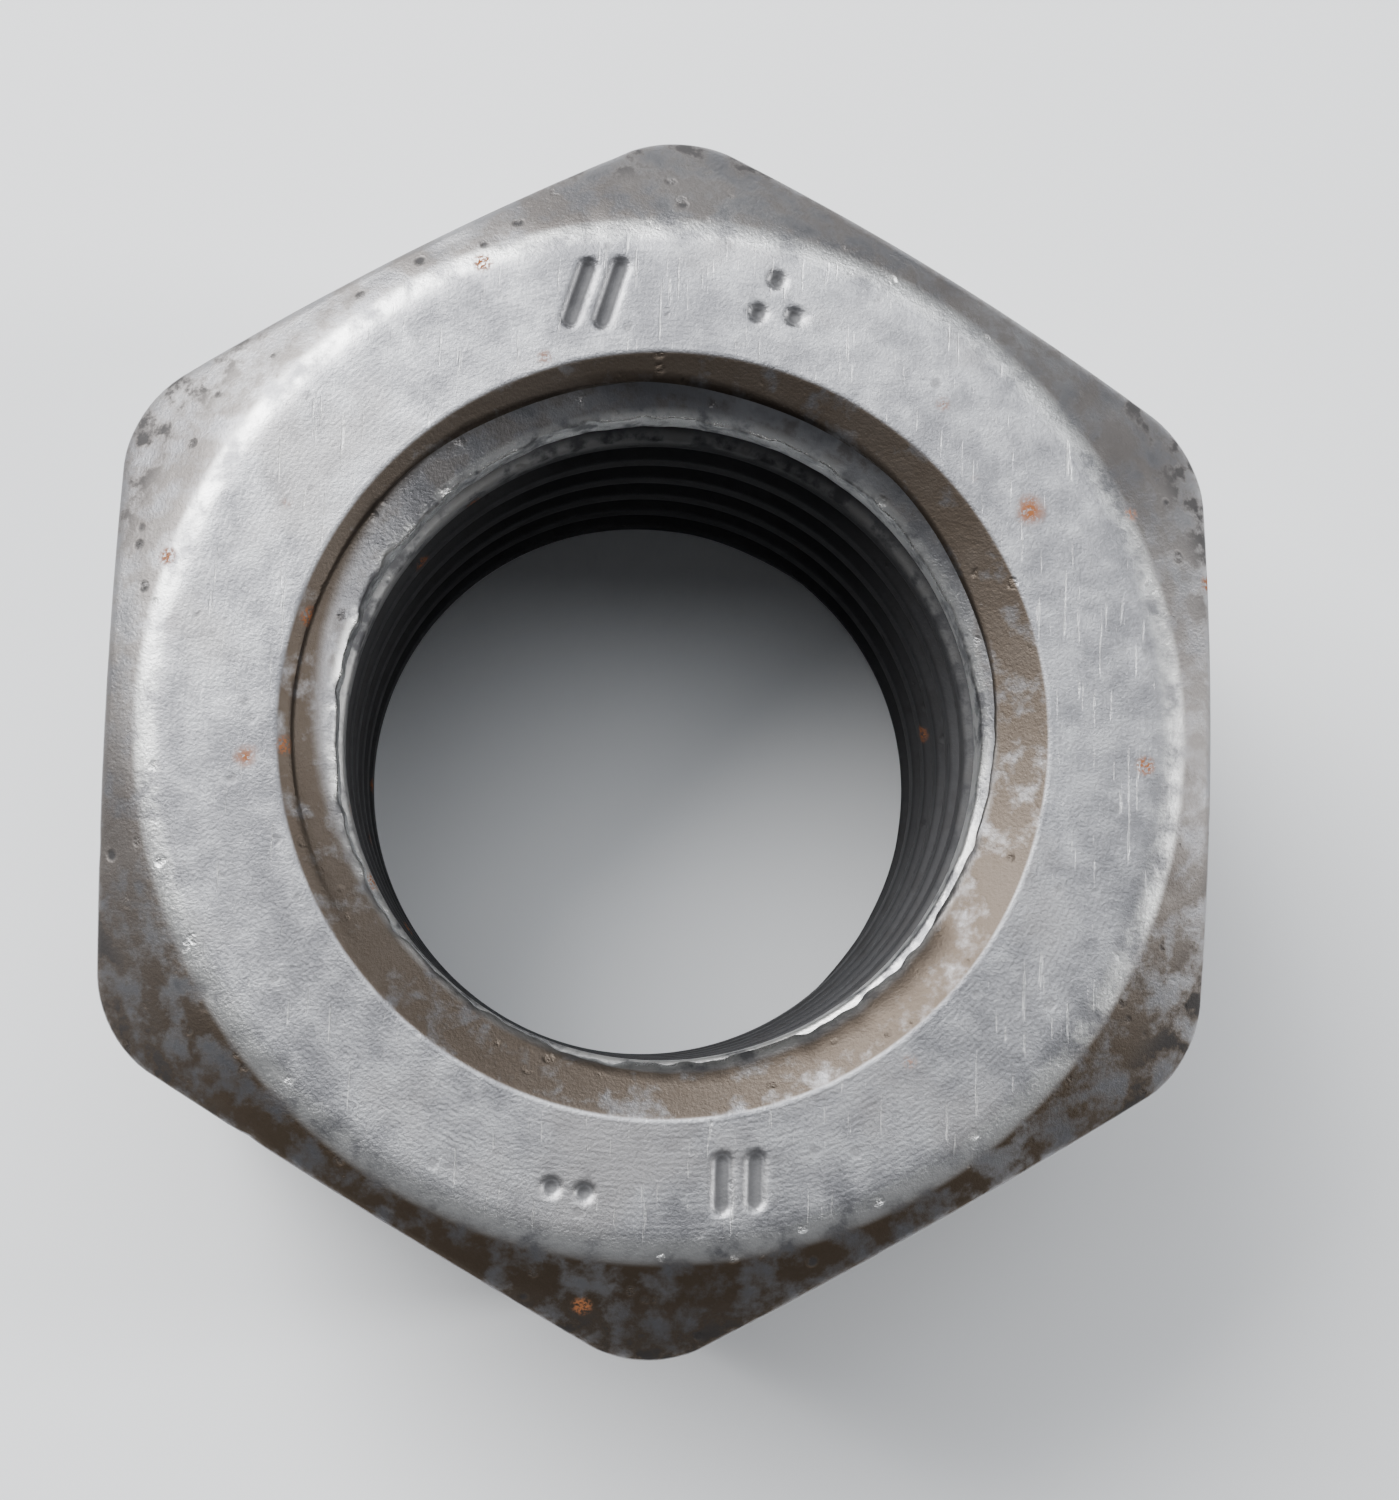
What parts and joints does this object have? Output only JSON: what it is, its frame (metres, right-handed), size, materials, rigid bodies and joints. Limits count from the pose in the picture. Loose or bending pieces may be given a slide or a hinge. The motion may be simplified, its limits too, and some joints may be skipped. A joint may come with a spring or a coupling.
{
  "type": "hex nut",
  "caption": "Hexagonal steel nut with a right-hand coarse thread, a countersink at each end and a chamfer round both faces.",
  "frame": {"origin": "centre of the lower bearing face, on the thread axis", "axes": "+Z along the thread axis, out of the upper face; +X out of a wrench flat; +Y through an upright edge"},
  "size_m": [0.024, 0.027, 0.0148],
  "materials": {
    "steel": "worn, with tarnish and light rust"
  },
  "bodies": {
    "root": {"hex_nut": "steel"}
  },
  "joints": []
}
